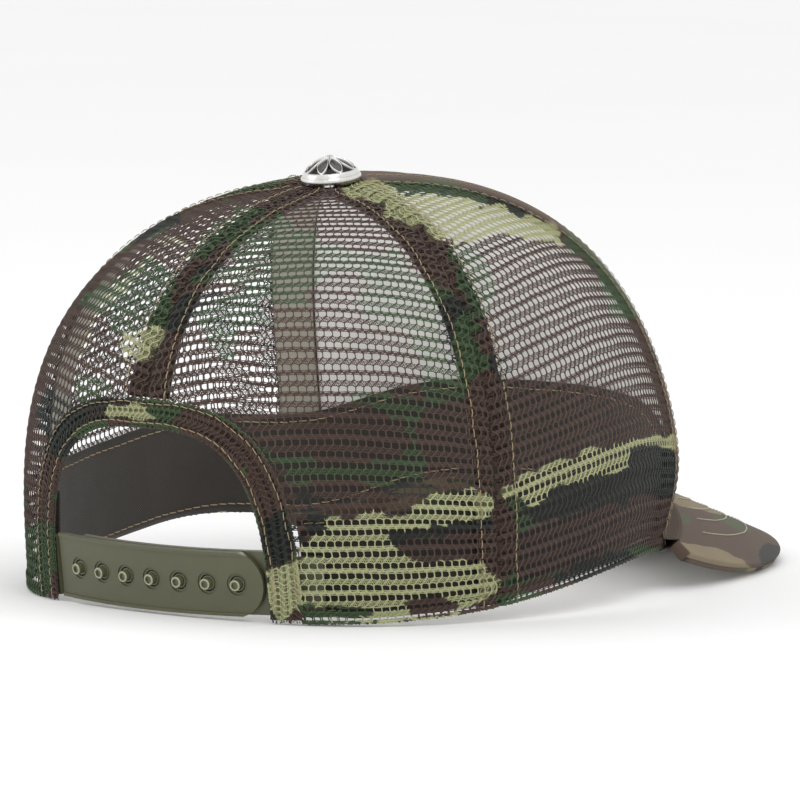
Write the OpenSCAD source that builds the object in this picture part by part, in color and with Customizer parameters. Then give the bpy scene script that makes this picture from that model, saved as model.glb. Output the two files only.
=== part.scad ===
// Trucker mesh cap: a five-panel crown with one solid front panel, two mesh
// side panels and two mesh back panels, a bent brim, a sweatband, a domed top
// button and a two-part plastic snap strap across an arched rear opening.
// The brim points to -Y, the wearer's left is +X and +Z is up. The cap stands
// on its brim and its rear edge, so the head opening is pitched nose up.

/* [Crown] */
// Front half-length of the head opening
front_len = 97.9; // [92:0.1:104]
// Rear half-length of the head opening
rear_len = 91.5; // [86:0.1:97]
// Half-width of the head opening
half_w = 80.2; // [76:0.1:85]
// Height of the crown over the plane of the head opening
crown_h = 98; // [92:0.5:106]
// Thickness of the panel fabric
cloth_t = 1.0; // [0.8:0.1:1.2]
// Angle of the two front seams from the brim direction
front_seam = 55; // [50:1:60]
// Angle of the two side seams from the brim direction
side_seam = 109.7; // [105:0.1:115]
// Width of the seam tapes
tape_w = 11.6; // [8:0.1:13]

/* [Rear opening] */
// Half-width of the opening
arch_w = 36.8; // [36:0.1:39]
// Height of the opening over the rear edge
arch_h = 50.2; // [45:0.1:54]
// Width of the binding round the opening
bind_w = 8.2; // [6:0.1:9]

/* [Brim] */
// Forward reach of the flat brim blank from the crown centre
brim_reach = 165.8; // [158:0.1:172]
// Half-width of the flat brim blank
brim_half = 81.6; // [79:0.1:84]
// Bending radius across the brim
brim_r = 105.6; // [95:0.1:130]
// Downward pitch of the brim
brim_pitch = 27.2; // [20:0.1:30]
// Thickness of the stiff board in the brim
board_t = 1.9; // [1.5:0.1:2]

/* [Snap strap] */
// Height of the strap
strap_h = 17.4; // [15:0.1:18]
// Thickness of each strap half
strap_t = 1.5; // [1.2:0.1:1.5]
// Spacing of the pegs and holes along the strap
peg_pitch = 9.16; // [8.8:0.01:9.2]
// Number of pegs and holes
peg_n = 7; // [5:1:7]
// Radius of a peg
peg_r = 1.4; // [1.2:0.05:1.5]
// Radius of a hole
hole_r = 2.3; // [2.2:0.05:2.4]

/* [Top button] */
// Radius of the domed shell
button_r = 8.4; // [7:0.1:9]
// Height of the domed shell
button_h = 5.6; // [4.5:0.1:6]
// Number of petals in the openwork
petals = 8; // [6:1:10]

/* [Hidden] */

pitch = 9.13;                // nose-up pitch of the head opening when the cap stands
shift = [0, 32.84, 14.74];    // puts the middle of the base at the origin

// roundness of the crown: each list is front, side, back
n_plan = [2.22, 2.46, 2.69];
n_rise = [2.33, 3.40, 3.34];
bulge  = [-0.032, 0.021, 0.009];
rim    = [-6.0, -5.2, -0.2];
front_m = 2.2;
back_m = 2.63;
tuck = 0.071;
rim_dip = 7.0;
arch_m = 3.05;
strap_R = 142;               // plan radius of the rear edge across the opening
strap_z = 0.4;
bz0 = -3.9;                  // height of the brim's centre line where it leaves the crown
brim_m = 1.9;
brim_x = 50.3;

// ---------- crown surface ----------
function sgp(v, e) = (v < 0 ? -1 : 1) * pow(abs(v), e);
function unit(v) = v / norm(v);
function tanh_(x) = 1 - 2 / (exp(2 * x) + 1);
function wf(t) = pow(max(cos(t), 0), 2);
function wb(t) = pow(max(-cos(t), 0), 2);
function mix3(v, t) = v[0] * wf(t) + v[1] * (1 - wf(t) - wb(t)) + v[2] * wb(t);
function turn(t) = abs(((t + 180) % 360 + 360) % 360 - 180);
function zr(t) = mix3(rim, t) - rim_dip * exp(-pow((turn(t) - 54) / 18, 2));
function crown0(t, p) = let(
    c = cos(t), s = sin(t),
    a = c > 0 ? front_len : rear_len, m = c > 0 ? front_m : back_m,
    rho = pow(max(cos(p), 1e-9), 2 / mix3(n_plan, t)),
    zz = pow(max(sin(p), 1e-9), 2 / mix3(n_rise, t)),
    tk = tuck * (0.5 + 0.5 * tanh_((c - 0.25) / 0.2)),
    g = 1 + mix3(bulge, t) * sin(180 * zz) - tk * exp(-pow(zz * crown_h / 14, 2)),
    cx = sgp(c, 2 / m) * (1 - zz) + c * zz, sx = sgp(s, 2 / m) * (1 - zz) + s * zz)
    [half_w * sx * rho * g, -a * cx * rho * g, zr(t) + (crown_h - zr(t)) * zz];
function nrm(t, p) = unit(cross(crown0(t + 0.05, p) - crown0(t - 0.05, p),
    crown0(t, min(p + 0.06, 89.99)) - crown0(t, max(p - 0.06, 0))));
function crown(t, p, o) = crown0(t, p) + o * nrm(t, p);
function flat_r(t) = norm([half_w * sin(t), (cos(t) > 0 ? front_len : rear_len) * cos(t)]);
function p_top(t, r) = acos(pow(r / flat_r(t), mix3(n_plan, t) / 2));
function p_high(t, h) = asin(pow(max(0, min(1, h / (crown_h - zr(t)))), mix3(n_rise, t) / 2));
function spread(p0, p1, v) = let(q0 = pow(p0 / p1, 1 / 1.5)) p1 * pow(q0 + (1 - q0) * v, 1.5);
// rear half, wearer's left: angle at a sideways distance x and a height h over the rim
function t_at(x, h, lo = 92, hi = 180, k = 20) = k == 0 ? (lo + hi) / 2 :
    let(m = (lo + hi) / 2) crown0(m, p_high(m, h))[0] > x ? t_at(x, h, m, hi, k - 1) : t_at(x, h, lo, m, k - 1);
function rad(t, p) = let(q = crown0(t, p)) norm([q[0], q[1]]);
function half_deg(t, p) = min(tape_w / 2, 0.42 * rad(t, p)) / rad(t, p) * 57.3;

// ---------- a closed sheet between two grids of points ----------
module sheet(A, B) {
    m = len(A) - 1;
    n = len(A[0]) - 1;
    w = n + 1;
    k = (m + 1) * w;
    pts = concat([for (r = A) each r], [for (r = B) each r]);
    faces = concat(
        [for (j = [0:m - 1], i = [0:n - 1]) each let(a = j * w + i, b = a + w)
            [[a, b, b + 1], [a, b + 1, a + 1], [k + a, k + b + 1, k + b], [k + a, k + a + 1, k + b + 1]]],
        [for (i = [0:n - 1]) each let(c = m * w + i)
            [[i, i + 1, k + i + 1], [i, k + i + 1, k + i], [c + 1, c, k + c], [c + 1, k + c, k + c + 1]]],
        [for (j = [0:m - 1]) each let(a = j * w, b = a + w, c = j * w + n, d = c + w)
            [[b, a, k + a], [b, k + a, k + b], [c, d, k + d], [c, k + d, k + c]]]);
    polyhedron(points = pts, faces = faces, convexity = 6);
}
// a patch of the crown between two edge angles, from height h0 to the button
module patch(t0, t1, h0, r_top, o_out, o_in, n, m, trim = 0) {
    function tt(i, v) = let(u = i / n, a = t0 + (t1 - t0) * u, p = spread(p_high(a, h0), p_top(a, r_top), v))
        trim == 0 ? a : let(e0 = t0 + half_deg(t0, p) + 0.5, e1 = t1 - half_deg(t1, p) - 0.5) e0 + (e1 - e0) * u;
    function g(o) = [for (j = [0:m]) let(v = j / m) [for (i = [0:n]) let(a = tt(i, v))
        crown(a, spread(p_high(a, h0), p_top(a, r_top), v), o)]];
    sheet(g(o_out), g(o_in));
}
// a tape of constant width behind a seam
module tape(t, h0, r_top = 3.4, m = 14) {
    function g(o) = [for (j = [0:m]) let(p = spread(p_high(t, h0), p_top(t, r_top), j / m), d = half_deg(t, p))
        [for (i = [-1:0.5:1]) crown(t + i * d, p, o)]];
    sheet(g(-0.8), g(-1.6));
}

// ---------- crown pieces ----------
ct = cloth_t / 2;
module front_panel() color("#5d5b49") stand()
    patch(-front_seam + 0.15, front_seam - 0.15, 0, 2.8, ct, -ct, 18, 14);
module front_panel_foam() color("#cfc9ba") stand()
    patch(-front_seam, front_seam, 2, 9, -0.8, -2.6, 14, 12, trim = 1);
module side_panel() patch(front_seam + 0.15, side_seam - 0.15, 0, 2.8, ct, -ct, 12, 16);
module side_panel_left() color("#4b4a38") stand() side_panel();
module side_panel_right() color("#4b4a38") stand() mirror([1, 0, 0]) side_panel();

// lower edge of a back panel: along the rim, then up and over the arch
arch_o = arch_w + bind_w + 0.3;
arch_t = arch_h + bind_w * 0.88 + 0.3;
function arch_pt(a, w, h) = let(x = max(0.25, w * sgp(cos(a), 2 / arch_m)), z = h * pow(max(sin(a), 0), 2 / arch_m),
    t = t_at(x, z)) [t, p_high(t, z)];
module back_panel() {
    n1 = 7; n2 = 11; m = 14;
    tw = t_at(arch_o, 0);
    low = concat([for (i = [0:n1 - 1]) [side_seam + 0.15 + (tw - side_seam - 0.15) * i / n1, 0]],
                 [for (i = [0:n2]) arch_pt(90 * pow(i / n2, 0.9), arch_o, arch_t)]);
    n = n1 + n2;
    function g(o) = [for (j = [0:m]) let(v = j / m) [for (i = [0:n]) let(
        q = low[i], t1 = side_seam + 0.15 + (179.85 - side_seam - 0.15) * i / n, t = q[0] + (t1 - q[0]) * v)
        crown(t, spread(q[1], p_top(t1, 2.8), v), o)]];
    sheet(g(ct), g(-ct));
}
module back_panel_left() color("#4f4c3a") stand() back_panel();
module back_panel_right() color("#4f4c3a") stand() mirror([1, 0, 0]) back_panel();

module front_seam_tape_left() color("#4a3f36") stand() tape(front_seam, 0.6);
module front_seam_tape_right() color("#4a3f36") stand() mirror([1, 0, 0]) tape(front_seam, 0.6);
module side_seam_tape_left() color("#4a3f36") stand() tape(side_seam, 0.6);
module side_seam_tape_right() color("#4a3f36") stand() mirror([1, 0, 0]) tape(side_seam, 0.6);
module back_seam_tape() color("#4a3f36") stand() tape(180, arch_t + 0.4, 3.4, 11);

// doubled fabric folded round the edge of the rear opening
module rear_opening_binding() {
    n = 44;
    function q(i, w, h) = let(a = 180 * i / n, b = a > 90 ? 180 - a : a,
        x = w * sgp(cos(b), 2 / arch_m), z = h * pow(max(sin(b), 0), 2 / arch_m), t = t_at(x, z))
        a > 90 ? [360 - t, p_high(t, z)] : [t, p_high(t, z)];
    function g(o) = [for (j = [0:3]) let(f = j / 3, w = arch_w + bind_w * f, h = arch_h + bind_w * 0.88 * f)
        [for (i = [0:n]) let(e = q(i, w, h)) crown(e[0], e[1], o)]];
    color("#54483c") stand() sheet(g(ct + 0.4), g(-ct - 0.1));
}

// soft band inside the rim, open across the strap
module sweatband() {
    n = 64;
    m = 3;
    te = t_at(51.5, 10);
    function g(o) = [for (j = [0:m]) [for (i = [0:n]) let(t = -te + 2 * te * i / n)
        crown(t, p_high(t, 0.6 + 28.4 * j / m), o)]];
    color("#3a3630") stand() sheet(g(-3.0), g(-4.2));
}

// ---------- brim ----------
// flat blank point (forward, sideways, layer) bent about brim_r and pitched
function board(X, S, d) = let(k = 180 / PI / brim_r, y = (brim_r + d) * sin(S * k), z = -brim_r + (brim_r + d) * cos(S * k), dx = X - front_len)
    [y, -(front_len + dx * cos(brim_pitch) + z * sin(brim_pitch)), bz0 - dx * sin(brim_pitch) + z * cos(brim_pitch)];
function b_out(a, off) = [brim_x + (brim_reach - brim_x - off) * pow(abs(cos(a)), 2 / brim_m),
    (brim_half - off) * sgp(sin(a), 2 / brim_m)];
function b_in(t, gap) = let(q = crown(t, 3, gap), S = brim_r * asin(q[0] / brim_r) * PI / 180,
    zb = -brim_r * (1 - cos(asin(q[0] / brim_r))), dx = (-q[1] - front_len - zb * sin(brim_pitch)) / cos(brim_pitch))
    [front_len + dx, S];
// rows: [share from crown edge to outline, inset from the outline, layer height]
module brim_layer(ro, ri) {
    n = 40;
    function g(rows) = [for (r = rows) [for (i = [0:n]) let(u = -1 + 2 * i / n, a = 84.5 * sgp(u, 1.08), t = 61 * u,
        A = b_in(t, cloth_t / 2 + 0.4), C = b_out(a, r[1]), P = A + (C - A) * r[0]) board(P[0], P[1], r[2])]];
    sheet(g(ro), g(ri));
}
module brim_board() color("#8c8c88") stand()
    brim_layer([for (v = [0:0.125:1]) [v, 1.6, -0.1]], [for (v = [0:0.125:1]) [v, 1.6, -0.1 - board_t]]);
module brim_top_cover() color("#6b5f52") stand()
    brim_layer([for (v = [0:0.125:1]) [v, 0.35, 0.75], [1, 0, 0.35], [1, 0, -0.95]],
               [for (v = [0:0.125:1]) [v, 1.2, 0], [1, 0.9, -0.1], [1, 0.8, -0.95]]);
module brim_under_cover() color("#5f564a") stand()
    brim_layer([for (v = [0:0.125:1]) [v, 1.2, -0.2 - board_t], [1, 0.9, -0.1 - board_t], [1, 0.8, -1.05]],
               [for (v = [0:0.125:1]) [v, 0.35, -0.95 - board_t], [1, 0, -0.55 - board_t], [1, 0, -1.05]]);

// ---------- snap strap ----------
sO = -(strap_R - rear_len);                  // plan centre of the strap's arc
R_hole = strap_R - 1.6;                      // outer half, with the holes
R_peg = strap_R - 3.6;                       // inner half, with the pegs
root_s = 35.6;                               // bend line, along the arc from the middle
function deg(s) = s / strap_R * 180 / PI;
zm = strap_z + strap_h / 2;
function peg_s(i) = (i - (peg_n - 1) / 2) * peg_pitch;
// a band of the strap's arc from s0 to s1 (toward the wearer's left)
module band(r0, r1, z0, z1, s0, s1)
    translate([0, sO, 0]) rotate([0, 0, 90 - deg(s1)]) rotate_extrude(angle = deg(s1 - s0), $fn = 360)
        translate([r0, z0]) square([r1 - r0, z1 - z0]);
// a radial cylinder at s, from radius ra to rb
module radial(s, r, ra, rb)
    translate([0, sO, zm]) rotate([0, 0, -deg(s)]) rotate([-90, 0, 0]) translate([0, 0, ra]) cylinder(r = r, h = rb - ra, $fn = 48);
module knuckle(R, s)
    translate([0, sO, 0]) rotate([0, 0, -deg(s)]) translate([0, R, strap_z]) cylinder(r = strap_t / 2 - 0.06, h = strap_h, $fn = 32);
// one strap half: a bent strip with a rounded free end and a round root
module strap_blade(R, tip, lip) {
    dir = tip > 0 ? 1 : -1;
    rt = strap_h / 2 + 0.35;
    a = tip - dir * rt;
    ri = R - strap_t / 2;
    ro = R + strap_t / 2;
    z0 = strap_z;
    z1 = strap_z + strap_h;
    s0 = min(tip, -dir * root_s);
    s1 = max(tip, -dir * root_s);
    difference() {
        translate([0, sO, 0]) rotate([0, 0, 90 - deg(s1)]) rotate_extrude(angle = deg(s1 - s0), $fn = 360)
            polygon(lip > 0 ? [[ri, z0], [ro + lip, z0], [ro + lip, z0 + 0.9], [ro, z0 + 0.9], [ro, z1 - 0.9], [ro + lip, z1 - 0.9], [ro + lip, z1], [ri, z1]]
                            : [[ri, z0], [ro, z0], [ro, z1], [ri, z1]]);
        difference() {
            band(R - 2, R + 2.5, z0 - 1, z1 + 1, min(a, tip + dir), max(a, tip + dir));
            radial(a, rt, R - 4, R + 4.5);
        }
    }
    knuckle(R, -dir * root_s);
}
module hole_strap() color("#59594a") stand() {
    f = R_hole + strap_t / 2;
    difference() {
        strap_blade(R_hole, -35.2, 0.3);
        for (i = [0:peg_n - 1]) {
            radial(peg_s(i), hole_r, R_hole - 3, R_hole + 3);
            radial(peg_s(i), hole_r + 0.7, f - 0.35, f + 3);
        }
    }
}
module peg_strap() color("#545546") stand() {
    difference() {
        union() {
            strap_blade(R_peg, 34, 0);
            for (i = [0:peg_n - 1]) {
                radial(peg_s(i), peg_r, R_peg, R_hole + strap_t / 2 + 1.5);
                radial(peg_s(i), peg_r + 0.1, R_hole + strap_t / 2 + 0.8, R_hole + strap_t / 2 + 1.3);
            }
        }
        for (i = [0:peg_n - 1]) radial(peg_s(i), peg_r * 0.55, R_hole + strap_t / 2 + 1.1, R_hole + strap_t / 2 + 3);
    }
}
module anchor(o) {
    m = 3; n = 5;
    function g(k) = [for (j = [0:m]) [for (i = [0:n]) let(x = 50 - (50 - 37) * i / n, z = 0.9 + strap_z + (strap_h - 1) * j / m, t = t_at(x, z))
        crown(t, p_high(t, z), k)]];
    sheet(g(o + strap_t / 2), g(o - strap_t / 2));
}
module hole_strap_anchor() color("#59594a") stand() anchor(-1.6);
module peg_strap_anchor() color("#545546") stand() mirror([1, 0, 0]) anchor(-3.6);

// ---------- top button ----------
bR = (button_r * button_r + button_h * button_h) / (2 * button_h);
b0 = crown_h + ct + 0.25;
module cap_shell(r_out, thick, base)
    rotate_extrude($fn = 96) intersection() {
        translate([0, button_h - bR]) difference() { circle(r = r_out, $fn = 120); circle(r = r_out - thick, $fn = 120); }
        translate([0, base]) square([20, 20]);
    }
module button_shell() color("#b9babc") stand() translate([0, 0, b0]) {
    difference() {
        cap_shell(bR, 1.0, 0.4);
        for (i = [0:petals - 1]) rotate([0, 0, 360 / petals * (i + 0.5)]) {
            translate([3.4, 0, 1]) cylinder(r = 0.75, h = 8, $fn = 24);
            translate([4.9, 0, 1]) cylinder(r = 1.05, h = 8, $fn = 24);
            translate([6.3, 0, 1]) cylinder(r = 0.8, h = 8, $fn = 24);
        }
    }
    difference() { cylinder(r = button_r, h = 0.8, $fn = 96); translate([0, 0, -1]) cylinder(r = button_r - 0.9, h = 3, $fn = 96); }
}
module button_insert() color("#26241f") stand() translate([0, 0, b0]) cap_shell(bR - 1.2, 0.9, 1.2);
module button_shank() color("#8d8e90") stand() {
    translate([0, 0, b0]) cylinder(r = button_r - 1.7, h = 0.8, $fn = 96);
    translate([0, 0, crown_h - 4]) cylinder(r = 2, h = 4 + ct + 0.5, $fn = 48);
}
module button_backing_disc() color("#8d8e90") stand() translate([0, 0, crown_h - 3.2]) difference() {
    cylinder(r = 7, h = 1.0, $fn = 96);
    translate([0, 0, -1]) cylinder(r = 2.1, h = 3, $fn = 48);
}

// pitches the cap nose up and sets it on the ground
module stand() translate(shift) rotate([-pitch, 0, 0]) children();

front_panel();
front_panel_foam();
side_panel_right();
side_panel_left();
back_panel_right();
back_panel_left();
front_seam_tape_right();
front_seam_tape_left();
side_seam_tape_right();
side_seam_tape_left();
back_seam_tape();
rear_opening_binding();
sweatband();
brim_board();
brim_top_cover();
brim_under_cover();
hole_strap();
hole_strap_anchor();
peg_strap();
peg_strap_anchor();
button_shell();
button_insert();
button_shank();
button_backing_disc();
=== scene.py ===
import math
import bpy
import numpy as np
from mathutils import Vector, Matrix


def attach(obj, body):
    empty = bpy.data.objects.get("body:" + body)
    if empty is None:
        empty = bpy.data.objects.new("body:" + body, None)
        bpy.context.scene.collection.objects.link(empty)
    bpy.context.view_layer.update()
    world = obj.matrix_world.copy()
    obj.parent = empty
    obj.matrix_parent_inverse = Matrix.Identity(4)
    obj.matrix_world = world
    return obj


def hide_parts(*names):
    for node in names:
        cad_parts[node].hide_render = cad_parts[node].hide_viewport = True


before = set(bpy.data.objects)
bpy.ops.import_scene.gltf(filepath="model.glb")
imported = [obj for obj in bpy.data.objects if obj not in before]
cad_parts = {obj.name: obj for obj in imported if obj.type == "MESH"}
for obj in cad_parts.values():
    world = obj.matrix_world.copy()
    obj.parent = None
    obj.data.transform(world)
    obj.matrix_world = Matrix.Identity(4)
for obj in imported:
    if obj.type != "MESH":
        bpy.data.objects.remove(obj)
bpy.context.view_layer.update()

pi = np.pi
rad, deg = np.radians, np.degrees

# ------------------------------------------------------------------ the crown surface, in millimetres
AF, AB, B, H = 97.9, 91.5, 80.2, 98.0
N1, N2 = (2.22, 2.46, 2.69), (2.33, 3.40, 3.34)
KB, ZR = (-0.032, 0.021, 0.009), (-6.0, -5.2, -0.2)
MF, MB, TUCK = 2.2, 2.63, 0.071
PITCH, SHIFT = math.radians(9.13), np.array([0.0, 32.84, 14.74])
SEAMS = (55.0, 109.7, 180.0, 250.3, 305.0)
ARCH_W, ARCH_H, BIND, AM = 36.8, 50.2, 8.2, 3.05


def mix3(t, th):
    c = np.cos(th)
    wf, wb = np.clip(c, 0, 1) ** 2, np.clip(-c, 0, 1) ** 2
    return t[0] * wf + t[1] * (1 - wf - wb) + t[2] * wb


def zrim(th):
    t = np.degrees(np.abs((th + pi) % (2 * pi) - pi))
    return mix3(ZR, th) - 7.0 * np.exp(-(((t - 54) / 18) ** 2))


def crown0(th, ph):
    c, s = np.cos(th), np.sin(th)
    a, m = np.where(c > 0, AF, AB), np.where(c > 0, MF, MB)
    cc, ss = np.sign(c) * np.abs(c) ** (2 / m), np.sign(s) * np.abs(s) ** (2 / m)
    zr = zrim(th)
    rho = np.clip(np.cos(ph), 1e-9, 1) ** (2 / mix3(N1, th))
    zz = np.clip(np.sin(ph), 1e-9, 1) ** (2 / mix3(N2, th))
    tk = TUCK * (0.5 + 0.5 * np.tanh((c - 0.25) / 0.2))
    g = 1 + mix3(KB, th) * np.sin(pi * zz) - tk * np.exp(-((zz * H / 14.0) ** 2))
    cx, sx = cc * (1 - zz) + c * zz, ss * (1 - zz) + s * zz
    return np.stack([B * sx * rho * g, -a * cx * rho * g, zr + (H - zr) * zz], -1)


def unit(v):
    return v / np.maximum(np.linalg.norm(v, axis=-1, keepdims=True), 1e-12)


def normal(th, ph):
    e = 9e-4
    hi, lo = np.minimum(ph + e, pi / 2 - 1e-4), np.maximum(ph - e, 0)
    return unit(np.cross(crown0(th + e, ph) - crown0(th - e, ph), crown0(th, hi) - crown0(th, lo)))


def p_high(th, h):
    return np.arcsin(np.clip(np.clip(h / (H - zrim(th)), 0, 1) ** (mix3(N2, th) / 2), 0, 1))


def p_top(th, r):
    c = np.cos(th)
    flat = np.hypot(B * np.sin(th), np.where(c > 0, AF, AB) * c)
    return np.arccos(np.clip(r / flat, 0, 1) ** (mix3(N1, th) / 2))


def spread(p0, p1, v):
    q0 = (np.maximum(p0, 1e-6) / p1) ** (1 / 1.5)
    return p1 * (q0 + (1 - q0) * v) ** 1.5


def t_at(x, h):
    lo, hi = np.full(np.shape(x), rad(92.0)), np.full(np.shape(x), pi)
    for _ in range(20):
        m = (lo + hi) / 2
        big = crown0(m, p_high(m, h))[..., 0] > x
        lo, hi = np.where(big, m, lo), np.where(big, hi, m)
    return (lo + hi) / 2


def radius(th, ph):
    q = crown0(th, ph)
    return np.hypot(q[..., 0], q[..., 1])


def seam_gap(th, ph):
    """Distance in mm to the nearest seam, along the circle."""
    d = np.min([np.abs((th - rad(s) + pi) % (2 * pi) - pi) for s in SEAMS], axis=0)
    return d * radius(th, ph)


def puff(th, ph):
    """The panels dip into each seam and swell a little beside it."""
    d = seam_gap(th, ph)
    top = np.clip(1 - radius(th, ph) / 15.0, 0, 1)
    return (-0.55 * np.exp(-((d / 0.9) ** 2)) + 0.22 * np.exp(-(((d - 3.2) / 2.2) ** 2))) * (1 - top) + 1.0 * top ** 1.5


def crown(th, ph, o):
    return crown0(th, ph) + np.asarray(o)[..., None] * normal(th, ph)


def stand(P, move=True):
    c, s = math.cos(PITCH), math.sin(PITCH)
    Q = np.stack([P[..., 0], P[..., 1] * c + P[..., 2] * s, -P[..., 1] * s + P[..., 2] * c], -1)
    return Q + SHIFT if move else Q


# ------------------------------------------------------------------ the brim surface
BZ0, BR, BSG, BXF, BBF, BM, BXC = -3.9, 105.6, -0.4747, 165.8, 81.6, 1.9, 50.3


def board(X, S, d):
    y, z, dx = (BR + d) * np.sin(S / BR), -BR + (BR + d) * np.cos(S / BR), X - AF
    return np.stack([y, -(AF + dx * math.cos(BSG) - z * math.sin(BSG)), BZ0 + dx * math.sin(BSG) + z * math.cos(BSG)], -1)


def brim_out(a, off):
    return BXC + (BXF - BXC - off) * np.abs(np.cos(a)) ** (2 / BM), (BBF - off) * np.sign(np.sin(a)) * np.abs(np.sin(a)) ** (2 / BM)


def brim_in(th, gap):
    q = crown(th, np.full_like(th, rad(3.0)), np.full_like(th, gap))
    S = BR * np.arcsin(q[..., 0] / BR)
    zb = -BR * (1 - np.cos(S / BR))
    return AF + (-q[..., 1] - AF + zb * math.sin(BSG)) / math.cos(BSG), S


# ------------------------------------------------------------------ the camera, at the photograph's viewing angle
CAM_PHI, CAM_E, CAM_ROLL, CAM_D, CAM_F, CAM_CX, CAM_CY = 0.6793, 0.2085, -0.08745, 2018.0, 7355.0, 345.1, 337.3
_back = np.array([-math.cos(CAM_PHI) * math.cos(CAM_E), -math.sin(CAM_PHI) * math.cos(CAM_E), math.sin(CAM_E)])
_right = unit(np.cross(-_back, [0, 0, 1.0])); _up = np.cross(_right, -_back)
_r2 = math.cos(CAM_ROLL) * _right + math.sin(CAM_ROLL) * _up
_u2 = -math.sin(CAM_ROLL) * _right + math.cos(CAM_ROLL) * _up
_C = np.array([0, 0, 55.0]) + _back * CAM_D


def seen(P):
    """Where a point of the cap (rim frame, mm) lies in the 800 x 800 view."""
    Q = np.stack([-P[..., 1], P[..., 0], P[..., 2]], -1) - _C
    zc = Q @ -_back
    return CAM_CX + CAM_F * (Q @ _r2) / zc, CAM_CY - CAM_F * (Q @ _u2) / zc


def to_cad(v, move):
    return stand(np.array([v[1], -v[0], v[2]]), move)


cam_data = bpy.data.cameras.new("camera")
cam = bpy.data.objects.new("camera", cam_data)
bpy.context.scene.collection.objects.link(cam)
_d = unit(-_back + _r2 * (400 - CAM_CX) / CAM_F - _u2 * (400 - CAM_CY) / CAM_F)
_x = unit(_r2 - _d * float(_r2 @ _d)); _y = np.cross(-_d, _x)
cols = [to_cad(v, False) for v in (_x, _y, -_d)]
loc = to_cad(_C, True) / 1000
cam.matrix_world = Matrix([[cols[0][i], cols[1][i], cols[2][i], loc[i]] for i in range(3)] + [[0, 0, 0, 1]])
cam_data.sensor_width, cam_data.lens = 36.0, CAM_F / 800 * 36.0
cam_data.clip_start, cam_data.clip_end = 0.05, 50.0
bpy.context.scene.camera = cam


# ------------------------------------------------------------------ noise and the woodland print
def hash2(i, j, seed):
    n = (i.astype(np.int64) * 374761393 + j.astype(np.int64) * 668265263 + seed * 974634777) & 0xFFFFFFFF
    n = ((n ^ (n >> 13)) * 1274126177) & 0xFFFFFFFF
    return ((n ^ (n >> 16)) & 0xFFFFFF) / float(0xFFFFFF)


def noise(x, y, seed):
    xi, yi = np.floor(x), np.floor(y)
    fx, fy = x - xi, y - yi
    fx, fy = fx * fx * (3 - 2 * fx), fy * fy * (3 - 2 * fy)
    a, b = hash2(xi, yi, seed), hash2(xi + 1, yi, seed)
    c, d = hash2(xi, yi + 1, seed), hash2(xi + 1, yi + 1, seed)
    return (a * (1 - fx) + b * fx) * (1 - fy) + (c * (1 - fx) + d * fx) * fy


def fbm(x, y, seed, n=3):
    t, w, s = 0.0, 1.0, 0.0
    for k in range(n):
        t = t + w * noise(x * 2 ** k + 7.3 * k, y * 2 ** k - 3.1 * k, seed + 17 * k)
        s += w
        w *= 0.5
    return t / s


def lin(*rgb):
    c = np.array(rgb, float) / 255
    return np.where(c <= 0.04045, c / 12.92, ((c + 0.055) / 1.055) ** 2.4)


BROWN, GREEN, KHAKI, SLATE = 0, 1, 2, 3
YARN = np.array([lin(80, 63, 56), lin(66, 84, 57), lin(174, 176, 134), lin(45, 49, 45)])
TWILL = np.array([lin(88, 74, 64), lin(80, 86, 66), lin(130, 118, 94), lin(54, 53, 50)])


def print_index(s, v, seed):
    """Four-colour woodland print on a flat piece of cloth; s and v in mm."""
    x, y = s / 46.0 + 0.5 * fbm(s / 30, v / 30, seed + 5), v / 27.0 + 0.5 * fbm(s / 26 + 9, v / 26, seed + 6)
    f = lambda k, fx, fy, e: fbm(x * fx + 3.7 * k, y * fy - 2.1 * k, seed + 31 * k) + e * (noise(s / 4.2, v / 3.4, seed + k) - 0.5)
    idx = np.full(np.shape(s), BROWN)
    idx[f(1, 1.0, 1.0, 0.07) > 0.54] = GREEN
    idx[f(2, 1.25, 1.25, 0.07) > 0.585] = KHAKI
    idx[f(3, 1.3, 1.2, 0.07) > 0.625] = SLATE
    return idx


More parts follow.
